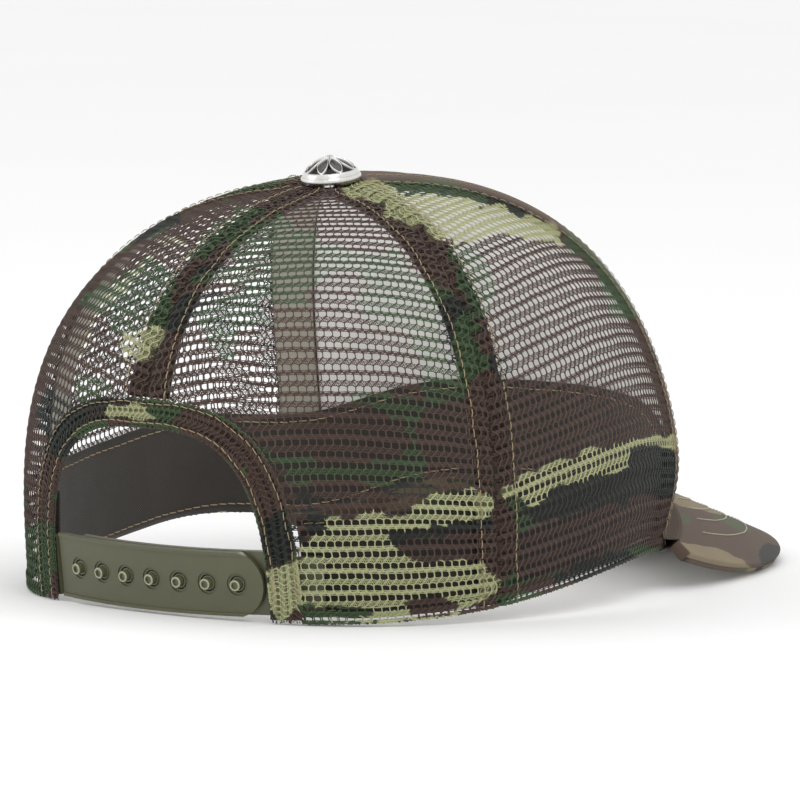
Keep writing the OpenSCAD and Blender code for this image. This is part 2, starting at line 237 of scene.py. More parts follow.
# patches of the print on the side that the camera sees: centre, half sizes, turn in degrees, colour; later ones lie on top
PATCHES = [
    # back-left panel
    (135, 300, 52, 34, -35, GREEN), (92, 345, 26, 36, 10, BROWN), (190, 232, 50, 16, -28, BROWN), (140, 340, 22, 17, -35, KHAKI),
    (150, 372, 18, 10, 0, BROWN), (60, 420, 22, 30, 0, SLATE), (95, 385, 22, 12, -20, GREEN), (222, 236, 18, 10, -30, GREEN),
    (128, 262, 24, 10, -35, BROWN), (45, 520, 22, 46, 0, GREEN), (42, 572, 16, 22, 0, BROWN), (50, 470, 16, 14, 0, BROWN),
    # back-right panel
    (285, 262, 52, 40, 20, GREEN), (350, 235, 40, 20, 15, BROWN), (345, 300, 34, 22, 10, BROWN), (400, 290, 30, 40, 60, GREEN),
    (235, 330, 34, 34, 0, GREEN), (290, 356, 62, 26, 8, BROWN), (400, 360, 50, 34, 0, BROWN), (235, 400, 46, 16, 10, BROWN),
    (330, 432, 80, 34, 5, BROWN), (444, 360, 26, 66, -8, GREEN), (450, 440, 30, 40, 0, BROWN), (455, 335, 20, 36, -20, SLATE),
    (300, 512, 50, 20, 12, SLATE), (370, 505, 60, 12, -3, BROWN), (380, 585, 120, 36, -2, KHAKI), (345, 548, 50, 20, -8, KHAKI),
    (440, 512, 58, 15, -10, KHAKI), (372, 522, 50, 9, -4, KHAKI), (462, 548, 42, 16, -4, BROWN), (420, 548, 20, 9, 0, BROWN),
    (290, 520, 14, 16, 0, BROWN), (275, 590, 12, 22, 0, KHAKI), (330, 612, 34, 8, 0, GREEN), (430, 606, 22, 9, 0, BROWN),
    # binding of the rear opening
    (45, 500, 16, 36, 0, BROWN), (42, 560, 20, 34, 0, GREEN), (72, 446, 18, 12, -35, SLATE), (98, 428, 22, 9, -20, GREEN),
    (136, 408, 34, 9, 2, KHAKI), (118, 418, 12, 6, 0, BROWN), (178, 410, 26, 10, 12, GREEN), (222, 442, 52, 15, 36, BROWN),
    (268, 492, 22, 34, -30, BROWN), (280, 540, 16, 20, 0, SLATE), (280, 590, 20, 28, 0, KHAKI),
    # right side seam
    (470, 352, 16, 40, -12, GREEN), (492, 420, 24, 46, -6, BROWN), (500, 530, 12, 50, 0, BROWN), (420, 262, 40, 12, 40, BROWN),
    # side panel
    (560, 300, 90, 80, 30, BROWN), (374, 192, 26, 8, 4, KHAKI), (448, 216, 62, 22, 10, KHAKI), (522, 230, 50, 12, 16, KHAKI), (430, 240, 50, 8, 12, BROWN), (430, 190, 36, 7, 4, GREEN), (575, 236, 18, 20, 25, BROWN),
    (600, 252, 40, 20, 30, GREEN), (640, 300, 34, 52, -18, GREEN), (548, 262, 34, 14, 25, BROWN), (620, 340, 34, 24, 0, BROWN),
    (655, 400, 26, 36, 0, BROWN), (470, 280, 18, 40, -20, GREEN), (585, 396, 70, 40, 0, BROWN), (520, 330, 26, 34, 0, BROWN),
    (590, 466, 92, 16, -16, KHAKI), (540, 486, 30, 12, -10, KHAKI), (592, 492, 74, 18, -14, SLATE), (650, 470, 30, 26, 0, SLATE),
    (575, 540, 76, 26, -12, BROWN), (640, 526, 34, 18, -10, BROWN), (600, 566, 40, 9, -16, SLATE), (520, 600, 24, 10, -8, GREEN),
]


BRIM_PATCHES = [(700, 557, 54, 11, 14, KHAKI), (690, 502, 38, 6, 19, KHAKI), (674, 516, 16, 5, 14, GREEN), (734, 524, 20, 4, 24, GREEN), (773, 556, 13, 12, 0, SLATE)]


def visible_index(P, idx, seed, brim=False):
    """Puts the patches on the side towards the camera."""
    px, py = seen(P)
    k = 0.3 if brim else 1.0
    wx = px + k * (26 * (fbm(px / 34, py / 34, 71) - 0.5) + 9 * (noise(px / 8, py / 7, 72) - 0.5))
    wy = py + k * (22 * (fbm(px / 34 + 5, py / 34, 73) - 0.5) + 7 * (noise(px / 8 + 3, py / 7, 74) - 0.5))
    out = idx.copy()
    near = P[..., 0] < 4 if brim else np.stack([-P[..., 1], P[..., 0]], -1) @ _back[:2] > -26.0
    out[near & (brim | (idx == KHAKI))] = BROWN
    for cx, cy, rx, ry, turn, colour in BRIM_PATCHES if brim else PATCHES:
        a = math.radians(turn)
        dx, dy = wx - cx, wy - cy
        u, w = (dx * math.cos(a) + dy * math.sin(a)) / rx, (-dx * math.sin(a) + dy * math.cos(a)) / ry
        out[near & (np.abs(u) ** 2.2 + np.abs(w) ** 2.2 < 1)] = colour
    return out


# ------------------------------------------------------------------ meshes
def make(name, V, F, col=None, uv=None, mm=None, mat=None, body="cap", smooth=True):
    me = bpy.data.meshes.new(name)
    V = stand(np.asarray(V, float).reshape(-1, 3)) * 1e-3
    F = np.asarray(F, np.int32)
    me.vertices.add(len(V))
    me.vertices.foreach_set("co", V.astype(np.float32).ravel())
    me.loops.add(F.size)
    me.loops.foreach_set("vertex_index", F.ravel())
    me.polygons.add(len(F))
    me.polygons.foreach_set("loop_start", np.arange(0, F.size, F.shape[1], dtype=np.int32))
    me.update(calc_edges=True)
    if smooth:
        me.polygons.foreach_set("use_smooth", np.ones(len(F), bool))
    if col is not None:
        a = me.color_attributes.new("Col", "FLOAT_COLOR", "POINT")
        c = np.ones((len(V), 4), np.float32)
        c[:, :3] = np.asarray(col).reshape(-1, 3)
        a.data.foreach_set("color", c.ravel())
    for label, data in (("OFBake", uv), ("mm", mm)):
        if data is not None:
            layer = me.uv_layers.new(name=label)
            layer.data.foreach_set("uv", np.asarray(data, np.float32).reshape(-1, 2)[F.ravel()].ravel())
    me.validate()
    ob = bpy.data.objects.new(name, me)
    bpy.context.scene.collection.objects.link(ob)
    if mat:
        me.materials.append(mat)
    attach(ob, body)
    return ob


def sheet_mesh(A, Bi, k0=0):
    """Closed sheet between two grids of points (rows, columns, 3)."""
    m, n = A.shape[0] - 1, A.shape[1] - 1
    w, k = n + 1, (m + 1) * (n + 1)
    j, i = np.meshgrid(np.arange(m), np.arange(n), indexing="ij")
    a = (j * w + i).ravel()
    b = a + w
    F = [np.stack([a, a + 1, b + 1, b], 1), np.stack([k + a, k + b, k + b + 1, k + a + 1], 1)]
    i = np.arange(n)
    c = m * w + i
    F += [np.stack([i, k + i, k + i + 1, i + 1], 1), np.stack([c + 1, k + c + 1, k + c, c], 1)]
    a = np.arange(m) * w
    c = a + n
    F += [np.stack([a + w, k + a + w, k + a, a], 1), np.stack([c, k + c, k + c + w, c + w], 1)]
    return np.concatenate([A.reshape(-1, 3), Bi.reshape(-1, 3)]), np.concatenate(F) + k0


def grid_uv(m, n):
    v, u = np.meshgrid(np.linspace(0, 1, m), np.linspace(0, 1, n), indexing="ij")
    return np.concatenate([np.stack([u, v * 0.49], -1).reshape(-1, 2), np.stack([u, 0.51 + v * 0.49], -1).reshape(-1, 2)])


def area_of(G):
    a, b = G[1:, :-1] - G[:-1, :-1], G[:-1, 1:] - G[:-1, :-1]
    c, d = G[1:, :-1] - G[1:, 1:], G[:-1, 1:] - G[1:, 1:]
    return 0.5 * float(np.linalg.norm(np.cross(a, b), axis=-1).sum() + np.linalg.norm(np.cross(c, d), axis=-1).sum())


def tubes(P, N, R, sides=4, flat=0.85, base=0):
    """Tubes along polylines P (n, K, 3) with side direction N; returns vertices (n, K, S, 3) and faces."""
    n, K = P.shape[:2]
    T = unit(np.gradient(P, axis=1))
    Bn = unit(np.cross(T, N))
    N = unit(np.cross(Bn, T))
    a = 2 * pi * (np.arange(sides) + 0.5) / sides
    R = np.broadcast_to(np.asarray(R, float), (n, K))[..., None, None]
    V = P[:, :, None] + R * (flat * np.cos(a)[:, None] * N[:, :, None] + np.sin(a)[:, None] * Bn[:, :, None])
    k, j = np.meshgrid(np.arange(K - 1), np.arange(sides), indexing="ij")
    j2 = (j + 1) % sides
    q = np.stack([k * sides + j, k * sides + j2, (k + 1) * sides + j2, (k + 1) * sides + j], -1).reshape(-1, 4)
    F = (np.arange(n) * K * sides)[:, None, None] + q[None]
    return V, F.reshape(-1, 4) + base


class Pile:
    """Collects tubes into one mesh."""

    def __init__(self):
        self.V, self.F, self.C, self.U, self.M, self.n = [], [], [], [], [], 0

    def add(self, V, F, col, uv, mm):
        S = V.shape[2]
        self.V.append(V.reshape(-1, 3))
        self.F.append(F + self.n)
        rep = lambda x: np.repeat(x[:, :, None], S, 2).reshape(-1, x.shape[-1])
        self.C.append(rep(col)); self.U.append(rep(uv)); self.M.append(rep(mm))
        self.n += V.shape[0] * V.shape[1] * S

    def make(self, name, mat, body="cap"):
        c = np.concatenate
        U = c(self.U)
        return make(name, c(self.V), c(self.F), c(self.C), (U - U.min(0)) / np.ptp(U, axis=0), c(self.M), mat, body)


# ------------------------------------------------------------------ materials
def new_mat(name):
    m = bpy.data.materials.new(name)
    m.use_nodes = True
    nt = m.node_tree
    return m, nt, nt.nodes["Principled BSDF"]


def mathn(nt, op, a, b=None, clamp=False):
    n = nt.nodes.new("ShaderNodeMath")
    n.operation, n.use_clamp = op, clamp
    for i, x in enumerate((a, b)):
        if x is None:
            continue
        if isinstance(x, (int, float)):
            n.inputs[i].default_value = x
        else:
            nt.links.new(x, n.inputs[i])
    return n.outputs[0]


def tint(nt, colour, fac, amount):
    """colour times (1 - amount/2 + amount * fac)."""
    g = mathn(nt, "ADD", mathn(nt, "MULTIPLY", fac, amount), 1 - amount / 2)
    n = nt.nodes.new("ShaderNodeVectorMath")
    n.operation = "SCALE"
    nt.links.new(colour, n.inputs[0])
    nt.links.new(g, n.inputs["Scale"])
    return n.outputs[0]


def noise_node(nt, vec, scale, detail=2.0, rough=0.5):
    n = nt.nodes.new("ShaderNodeTexNoise")
    n.inputs["Scale"].default_value, n.inputs["Detail"].default_value, n.inputs["Roughness"].default_value = scale, detail, rough
    nt.links.new(vec, n.inputs["Vector"])
    return n.outputs["Fac"]


def wave_node(nt, vec, period, direction="X", distort=0.0):
    n = nt.nodes.new("ShaderNodeTexWave")
    n.wave_type, n.bands_direction = "BANDS", direction
    n.inputs["Scale"].default_value = 2 * pi / (20 * period) * (2 if direction == "DIAGONAL" else 1)
    n.inputs["Distortion"].default_value, n.inputs["Detail"].default_value = distort, 1.0
    nt.links.new(vec, n.inputs["Vector"])
    return n.outputs["Fac"]


def bump(nt, b, height, strength, distance):
    n = nt.nodes.new("ShaderNodeBump")
    n.inputs["Strength"].default_value, n.inputs["Distance"].default_value = strength, distance
    nt.links.new(height, n.inputs["Height"])
    nt.links.new(n.outputs[0], b.inputs["Normal"])


def coords(nt, mm=True):
    if mm:
        n = nt.nodes.new("ShaderNodeUVMap")
        n.uv_map = "mm"
        return n.outputs[0]
    return nt.nodes.new("ShaderNodeTexCoord").outputs["Object"]


def colour_attr(nt):
    n = nt.nodes.new("ShaderNodeAttribute")
    n.attribute_name = "Col"
    return n.outputs["Color"]


def yarn_material(name, rough=0.62):
    m, nt, b = new_mat(name)
    obj = coords(nt, False)
    fine, wide = noise_node(nt, obj, 2600, 3, 0.7), noise_node(nt, obj, 60, 2)
    c = tint(nt, tint(nt, colour_attr(nt), fine, 0.7), wide, 0.3)
    nt.links.new(c, b.inputs["Base Color"])
    b.inputs["Roughness"].default_value = rough
    b.inputs["Sheen Weight"].default_value = 0.04
    b.inputs["Specular IOR Level"].default_value = 0.28
    bump(nt, b, wave_node(nt, coords(nt), 0.22, "DIAGONAL", 1.0), 0.35, 0.00006)
    return m


def twill_material(name, period=0.62, amount=0.28, rough=0.85, sheen=0.06, strength=0.5):
    m, nt, b = new_mat(name)
    uv = coords(nt)
    w1, w2 = wave_node(nt, uv, period, "DIAGONAL", 0.35), wave_node(nt, uv, period * 0.55, "Y", 0.5)
    weave = mathn(nt, "ADD", mathn(nt, "MULTIPLY", w1, 0.7), mathn(nt, "MULTIPLY", w2, 0.3))
    fleck, wide = noise_node(nt, uv, 3.2, 3, 0.65), noise_node(nt, uv, 0.07, 3)
    c = tint(nt, tint(nt, tint(nt, colour_attr(nt), weave, amount), fleck, 0.22), wide, 0.22)
    nt.links.new(c, b.inputs["Base Color"])
    b.inputs["Roughness"].default_value = rough
    b.inputs["Sheen Weight"].default_value = sheen
    b.inputs["Specular IOR Level"].default_value = 0.3
    bump(nt, b, mathn(nt, "ADD", weave, mathn(nt, "MULTIPLY", fleck, 0.5)), strength, 0.00015)
    return m


def plain_material(name, rgb, rough, var=0.15, scale=400, metal=0.0, bump_d=0.00003, bump_s=0.3, spec=0.5, dark=None, coat=0.0):
    m, nt, b = new_mat(name)
    obj = coords(nt, False)
    n1, n2 = noise_node(nt, obj, scale, 4, 0.6), noise_node(nt, obj, scale / 9, 2)
    ramp = nt.nodes.new("ShaderNodeValToRGB")
    lo = np.array(rgb) * (1 - var) if dark is None else np.array(dark)
    ramp.color_ramp.elements[0].color = (*lo, 1)
    ramp.color_ramp.elements[1].color = (*np.minimum(np.array(rgb) * (1 + var), 1), 1)
    ramp.color_ramp.elements[0].position, ramp.color_ramp.elements[1].position = 0.25, 0.75
    nt.links.new(mathn(nt, "ADD", mathn(nt, "MULTIPLY", n1, 0.6), mathn(nt, "MULTIPLY", n2, 0.4)), ramp.inputs[0])
    nt.links.new(ramp.outputs[0], b.inputs["Base Color"])
    nt.links.new(mathn(nt, "ADD", mathn(nt, "MULTIPLY", n2, 0.16), rough - 0.08), b.inputs["Roughness"])
    b.inputs["Metallic"].default_value, b.inputs["Specular IOR Level"].default_value = metal, spec
    b.inputs["Coat Weight"].default_value = coat
    bump(nt, b, n1, bump_s, bump_d)
    return m


M_MESH = yarn_material("camo_mesh_yarn")
M_TWILL = twill_material("camo_twill_cloth")
M_TAPE = twill_material("seam_tape_cloth", 0.5, 0.3, 0.9)
M_BAND = twill_material("sweatband_cloth", 0.7, 0.35, 0.9, 0.25, 0.7)
M_FOAM = twill_material("foam_lining_knit", 0.9, 0.08, 0.9, 0.2, 0.5)
M_THREAD = plain_material("stitch_thread", lin(156, 138, 106), 0.6, 0.22, 900, bump_d=0.00005)
M_THREAD_PALE = plain_material("brim_thread", lin(176, 168, 146), 0.6, 0.18, 900, bump_d=0.00005)
M_STRAP = plain_material("olive_plastic", lin(84, 84, 62), 0.4, 0.07, 260, bump_d=0.00004, bump_s=0.22, spec=0.5)
M_PEG = plain_material("olive_plastic_inner", lin(90, 90, 68), 0.34, 0.07, 260, bump_d=0.00004, bump_s=0.2, spec=0.55)
M_BOARD = plain_material("brim_board_card", lin(150, 148, 140), 0.9, 0.12, 300, bump_d=0.0001)
M_STEEL = plain_material("button_steel", lin(170, 171, 172), 0.32, 0.1, 500, metal=1.0)
M_DARK = plain_material("dark_metal", lin(44, 40, 36), 0.5, 0.3, 500, metal=0.7)


def silver_material():
    m, nt, b = new_mat("silver_ornament")
    obj = coords(nt, False)
    n1 = noise_node(nt, obj, 700, 4, 0.6)
    nt.links.new(tint(nt, colour_attr(nt), n1, 0.25), b.inputs["Base Color"])
    nt.links.new(mathn(nt, "ADD", mathn(nt, "MULTIPLY", n1, 0.25), 0.14), b.inputs["Roughness"])
    b.inputs["Metallic"].default_value = 1.0
    bump(nt, b, n1, 0.25, 0.00004)
    return m


M_SILVER = silver_material()

# ------------------------------------------------------------------ the net: a warp-knit mesh of ribs, solid bands and lace bands
PX, VY = 2.17, 5.95
DRIFT = 0.35
#          points of one yarn in a cell: s in pitches, v in mm, height in mm; radius; sides
CELL = [
    ([(0, -0.12, 0.1), (0.03, 0.3, 0.12), (0.04, 0.85, 0.12), (0.02, 1.35, 0.12), (-0.1, 1.75, 0.2), (-0.25, 2.15, 0.24), (-0.42, 2.55, 0.2), (-0.5, 2.95, 0.12),
      (-0.53, 3.5, 0.12), (-0.5, 4.05, 0.12), (-0.36, 4.5, 0.2), (-0.05, 5.15, 0.22), (0.26, 5.75, 0.16), (0.35, 5.95, 0.1)],
     [0.3, 0.22, 0.185, 0.22, 0.25, 0.2, 0.25, 0.22, 0.185, 0.22, 0.2, 0.19, 0.2, 0.28], 4),
    ([(-0.02, 1.78, -0.02), (0.2, 1.64, 0.04), (0.5, 1.7, 0.0), (0.8, 1.64, 0.05), (1.02, 1.78, -0.02)], [0.24, 0.15, 0.13, 0.15, 0.24], 3),
    ([(-0.02, 2.12, 0.06), (0.34, 2.02, -0.06), (0.67, 2.2, 0.05), (1.02, 2.12, 0.06)], 0.2, 3),
    ([(-0.02, 2.34, -0.05), (0.34, 2.42, 0.05), (0.67, 2.26, -0.06), (1.02, 2.34, -0.05)], 0.19, 3),
    ([(-0.52, 2.66, -0.02), (-0.3, 2.8, 0.04), (0.0, 2.72, 0.0), (0.3, 2.8, 0.05), (0.52, 2.66, -0.02)], [0.24, 0.15, 0.13, 0.15, 0.24], 3),
    ([(-0.5, 4.22, 0.0), (-0.28, 4.5, 0.02), (0.15, 4.54, 0.02), (0.5, 4.22, 0.0)], [0.24, 0.13, 0.13, 0.24], 3),
    ([(0.35, 6.05, 0.0), (0.6, 5.76, 0.02), (1.05, 5.74, 0.02), (1.35, 6.05, 0.0)], [0.24, 0.13, 0.13, 0.24], 3),
    ([(0.08, 4.45, -0.05), (-0.1, 5.1, -0.08), (-0.3, 5.85, -0.05)], 0.12, 3),
    ([(0.3, 4.45, -0.05), (0.16, 5.1, -0.08), (-0.02, 5.85, -0.05)], 0.1, 3),
    ([(0.56, 4.45, -0.05), (0.4, 5.1, -0.08), (0.22, 5.85, -0.05)], 0.12, 3),
    ([(-0.05, 4.95, -0.1), (0.45, 5.1, -0.04), (0.97, 4.95, -0.1)], 0.1, 3),
    ([(-0.05, 5.35, -0.1), (0.45, 5.45, -0.04), (0.97, 5.35, -0.1)], 0.1, 3),
]


def net_fill(pile, place, s_range, v_range, offset, colour, phase=(0, 0), px=PX, vy=VY, wob=0.1, seed=1):
    """place(s, v) -> (theta, phi, inside); colour(P, s, v) -> rgb. Adds the yarns whose middles are inside."""
    sc, vs = px / PX, vy / VY
    j = np.arange(math.floor(v_range[0] / vy) - 1, math.ceil(v_range[1] / vy) + 1)
    i = np.arange(math.floor(s_range[0] / px) - 1, math.ceil(s_range[1] / px) + 1)
    I, J = [x.ravel().astype(float) for x in np.meshgrid(i, j)]
    s0 = (I + np.mod(J * DRIFT, 1) + phase[0]) * px
    v0 = (J + phase[1]) * vy
    for pts, r, sides in CELL:
        t = np.array(pts)
        s = s0[:, None] + t[None, :, 0] * px
        v = v0[:, None] + t[None, :, 1] * vs
        h = np.broadcast_to(t[None, :, 2], s.shape)
        ds = wob * (7.0 * (noise(s / 21.0, v / 13.0, seed + 3) - 0.5) + 3.0 * (noise(s / 6.0, v / 6.0, seed + 5) - 0.5) + 1.8 * (noise(s / 1.1, v / 1.3, seed) - 0.5))
        dv = wob * (11.0 * (noise(s / 24.0, v / 11.0, seed + 4) - 0.5) + 3.0 * (noise(s / 7.0, v / 6.0, seed + 6) - 0.5) + 1.8 * (noise(s / 1.1 + 9, v / 1.3, seed + 1) - 0.5))
        s, v = s + ds, v + dv
        k = len(pts) // 2
        th, ph, ins = place(s, v)
        keep = ins[:, k] & (ins[:, 0] | ins[:, -1])
        if not keep.any():
            continue
        s, v, h, th, ph = s[keep], v[keep], h[keep], th[keep], ph[keep]
        o = offset(th, ph, s, v) if callable(offset) else np.full(th.shape, offset)
        P0 = crown0(th, ph)
        N = normal(th, ph)
        P = P0 + (o + h)[..., None] * N
        V, F = tubes(P, N, np.asarray(r) * min(sc, 1.0), sides)
        pile.add(V, F, colour(P0, s, v), np.stack([s, v], -1), np.stack([s, v], -1))


class PanelMap:
    """Straight rows of a flat cut panel, laid on the crown: s along the row, v up the middle of the panel, in mm."""

    def __init__(self, mid, kappa=0.85, half=62.0):
        self.mid, self.kappa = rad(mid), kappa
        self.al = rad(np.arange(-half, half + 0.5, 1.0))
        th = self.mid + self.al
        ph = np.concatenate([np.linspace(0, 1, 220) ** 1.5 * (pi / 2 - 1e-3)])
        T, Ph = np.meshgrid(th, ph, indexing="ij")
        P = crown0(T, Ph)
        L = np.concatenate([np.zeros((len(th), 1)), np.cumsum(np.linalg.norm(np.diff(P, axis=1), axis=-1), 1)], 1)
        self.E = np.linspace(0, pi / 2, 240)
        self.PH = np.array([np.interp(self.E, l / l[-1] * pi / 2, ph) for l in L])
        self.Lc = L[len(th) // 2, -1]
        self.V = np.linspace(0, self.Lc * 0.995, 150)
        self.S = np.arange(-90.0, 90.01, 1.0)
        rows = []
        for v in self.V:
            a = self.al
            t = self.mid + a
            eps = self.eps(v, a)
            p = self.look(t, eps)
            Q = crown0(t, p)
            d = np.concatenate([[0], np.cumsum(np.linalg.norm(np.diff(Q, axis=0), axis=-1))])
            d -= d[len(a) // 2]
            slope = (a[-1] - a[-2]) / max(d[-1] - d[-2], 1e-3)
            al = np.interp(self.S, d, a)
            al = np.where(self.S > d[-1], a[-1] + (self.S - d[-1]) * slope, al)
            al = np.where(self.S < d[0], a[0] + (self.S - d[0]) * slope, al)
            rows.append(al)
        self.A = np.array(rows)

    def eps(self, v, al):
        psi = np.clip(v / self.Lc, 0, 0.999) * pi / 2
        return np.arctan(np.tan(psi) * np.clip(np.cos(al), 0.02, 1) ** self.kappa)

    def look(self, th, eps):
        x = np.clip((th - self.mid - self.al[0]) / (self.al[1] - self.al[0]), 0, len(self.al) - 1.001)
        y = np.clip(eps / (self.E[1] - self.E[0]), 0, len(self.E) - 1.001)
        return bil(self.PH, x, y)

    def __call__(self, s, v):
        x = np.clip(v / (self.V[1] - self.V[0]), 0, len(self.V) - 1.001)
        y = np.clip(s + 90.0, 0, len(self.S) - 1.001)
        al = bil(self.A, x, y)
        return self.mid + al, self.look(self.mid + al, self.eps(v, al))


def bil(T, x, y):
    xi, yi = x.astype(int), y.astype(int)
    fx, fy = x - xi, y - yi
    return (T[xi, yi] * (1 - fx) + T[xi + 1, yi] * fx) * (1 - fy) + (T[xi, yi + 1] * (1 - fx) + T[xi + 1, yi + 1] * fx) * fy


def in_arch(th, ph, grow):
    """Inside the rear opening grown by so many mm."""
    P = crown0(th, ph)
    w, h = ARCH_W + grow, ARCH_H + grow * 0.88
    z = np.clip(P[..., 2] - zrim(th), 0, None)
    return (P[..., 1] > 0) & ((np.abs(P[..., 0]) / w) ** AM + (z / h) ** AM < 1)


# dim darkens the colours of a layer lying under another: painted shade
def camo_on(seed, table=YARN, visible=True, dim=1.0):
    def f(P, s, v):
        idx = print_index(s, v, seed)
        if visible:
            idx = visible_index(P, idx, seed)
        return table[idx] * dim
    return f


PANELS = [("side_panel_left", 55.0, 109.7, 11), ("back_panel_left", 109.7, 180.0, 23),
          ("back_panel_right", 180.0, 250.3, 37), ("side_panel_right", 250.3, 305.0, 53)]
panel_piece = {}
for name, t0, t1, seed in PANELS:
    pm = PanelMap((t0 + t1) / 2)
    a0, a1 = rad(t0 + 0.1), rad(t1 - 0.1)

    def place(s, v, pm=pm, a0=a0, a1=a1):
        th, ph = pm(s, v)
        ins = (th >= a0) & (th <= a1) & (v > 0.25) & (ph < p_top(th, 3.0)) & ~in_arch(th, ph, BIND - 1.6)
        return np.clip(th, a0, a1), ph, ins

    def near_seam(s, v, pm=pm, a0=a0, a1=a1):
        th, ph, ins = place(s, v, pm, a0, a1)
        r = radius(th, ph)
        w = np.minimum(5.9, 0.42 * r)
        ins &= (np.abs(th - a0) * r < w) | (np.abs(th - a1) * r < w)
        return th, ph, ins

    pile = Pile()
    colour = camo_on(seed)
    net_fill(pile, place, (-70, 70), (0, pm.Lc), lambda th, ph, s, v: puff(th, ph), colour, seed=seed)
    # the doubled net beside each seam, under the panel's net, at 0.85: painted shade
    net_fill(pile, near_seam, (-70, 70), (0, pm.Lc), lambda th, ph, s, v: puff(th, ph) - 0.5, camo_on(seed, dim=0.85), phase=(0.45, 0.37), seed=seed + 9)
    ob = pile.make(name + "_net", M_MESH)
    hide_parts(name)
    T, VV = np.meshgrid(np.linspace(a0, a1, 60), np.linspace(0, 1, 80))
    G = crown0(T, spread(np.zeros_like(T), p_top(T, 2.8), VV))
    mid = (T[:, 1:] + T[:, :-1]) / 2
    gone = in_arch(T, spread(np.zeros_like(T), p_top(T, 2.8), VV), BIND)
    cellA = np.linalg.norm(np.cross(G[1:, :-1] - G[:-1, :-1], G[:-1, 1:] - G[:-1, :-1]), axis=-1)
    A = float(cellA[~gone[:-1, :-1]].sum())
    W = float(np.linalg.norm(np.diff(G[0], axis=0), axis=-1).sum())
    panel_piece[name] = (ob, W, pm.Lc, A)

# hem along the lower edge of the mesh panels: the net folded up behind itself
for side, (h0, h1, seed) in {"left": (55.0, None, 91), "right": (None, 305.0, 97)}.items():
    te = float(t_at(np.array(ARCH_W + BIND - 0.5), np.array(2.0)))
    b0, b1 = (rad(55.2), te) if side == "left" else (2 * pi - te, rad(304.8))
    tt = np.linspace(b0, b1, 400)
    cum = np.concatenate([[0], np.cumsum(np.linalg.norm(np.diff(crown0(tt, np.full(400, 0.02)), axis=0), axis=-1))])

    def hem(s, v, tt=tt, cum=cum):
        th = np.interp(s, cum, tt)
        return th, p_high(th, v), (s > 0) & (s < cum[-1]) & (v > 0.15) & (v < 4.6)

    pile = Pile()
    net_fill(pile, hem, (0, cum[-1]), (0, 4.6), lambda th, ph, s, v: puff(th, ph) + 0.42, camo_on(seed), phase=(0.2, -0.28), vy=4.6, seed=seed)
    s = np.arange(0, cum[-1], 0.9)
    K = len(s)
    th = np.interp(s, cum, tt)
    hh = 0.35 + 0.18 * np.sin(s * 2 * pi / 2.17)
    ph = p_high(th, hh)
    for o, r in ((0.15, 0.42), (-0.45, 0.36)):
        P0 = crown0(th, ph)
        P = P0 + (puff(th, ph) + o + 0.1 * np.sin(s * 3.1 + o * 7))[:, None] * normal(th, ph)
        V, F = tubes(P[None], normal(th, ph)[None], r, 6)
        pile.add(V, F, camo_on(seed)(P0, s, hh)[None], np.stack([s, hh + o], -1)[None], np.stack([s, hh + o], -1)[None])
    ob = pile.make(f"rim_hem_{side}", M_MESH)

# ------------------------------------------------------------------ front panel, its foam and the tapes
u, v = np.linspace(0, 1, 190), np.linspace(0, 1, 130)
U, VV = np.meshgrid(u, v)
T = rad(-54.85 + 109.7 * U)
PH = spread(np.zeros_like(T), p_top(T, 2.8), VV)
P0 = crown0(T, PH)
wr = 0.5 * (fbm(U * 5 + 2, VV * 4, 301) - 0.5) + 0.25 * (fbm(U * 17, VV * 13, 302) - 0.5)
edge = np.minimum(np.minimum(U, 1 - U) * 12, 1) * np.minimum((1 - VV) * 8, 1)
o = puff(T, PH) + wr * edge
A, Bi = P0 + (o + 0.5)[..., None] * normal(T, PH), P0 + (o - 0.4)[..., None] * normal(T, PH)
Vx, Fx = sheet_mesh(A, Bi)
sx = (U - 0.5) * 165 * np.cos(PH) ** 0.4
vx = VV * 140
idx = visible_index(P0, print_index(sx * 1.0, vx, 131), 131)
c = TWILL[idx]
mm = np.stack([sx, vx], -1)
# the inner face carries the print at 0.8, a painted shade inside the crown
front = make("front_panel_cloth", Vx, Fx, np.concatenate([c.reshape(-1, 3), c.reshape(-1, 3) * 0.8]), grid_uv(*U.shape), np.concatenate([mm.reshape(-1, 2)] * 2), M_TWILL)
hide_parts("front_panel")
min(area_of(P0) * 1e-6, 0.170 * 0.150)

u, v = np.linspace(0, 1, 90), np.linspace(0, 1, 70)
U, VV = np.meshgrid(u, v)


def foam_pt(U, VV):
    a = rad(-55 + 110 * U)
    p = spread(p_high(a, 2.0), p_top(a, 9.0), VV)
    r = radius(rad(-55.0) + 0 * a, p)
    e = np.minimum(5.8, 0.42 * r) / np.maximum(r, 1) + rad(0.5)
    return rad(-55) + e + (rad(110) - 2 * e) * U, p


T, PH = foam_pt(U, VV)
P0 = crown0(T, PH)
thick = np.clip(np.minimum(np.minimum(U, 1 - U) * 26, np.minimum(VV, 1 - VV) * 26), 0.25, 1) ** 0.5
A = P0 - 0.85 * normal(T, PH)
Bi = P0 - (0.85 + 1.7 * thick + 0.12 * (fbm(U * 9, VV * 9, 77) - 0.5))[..., None] * normal(T, PH)
Vx, Fx = sheet_mesh(A, Bi)
mm = np.stack([U * 150, VV * 130], -1).reshape(-1, 2)
foam = make("front_foam_lining", Vx, Fx, np.tile(lin(205, 203, 200), (len(Vx), 1)), grid_uv(*U.shape), np.concatenate([mm] * 2), M_FOAM)
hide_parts("front_panel_foam")

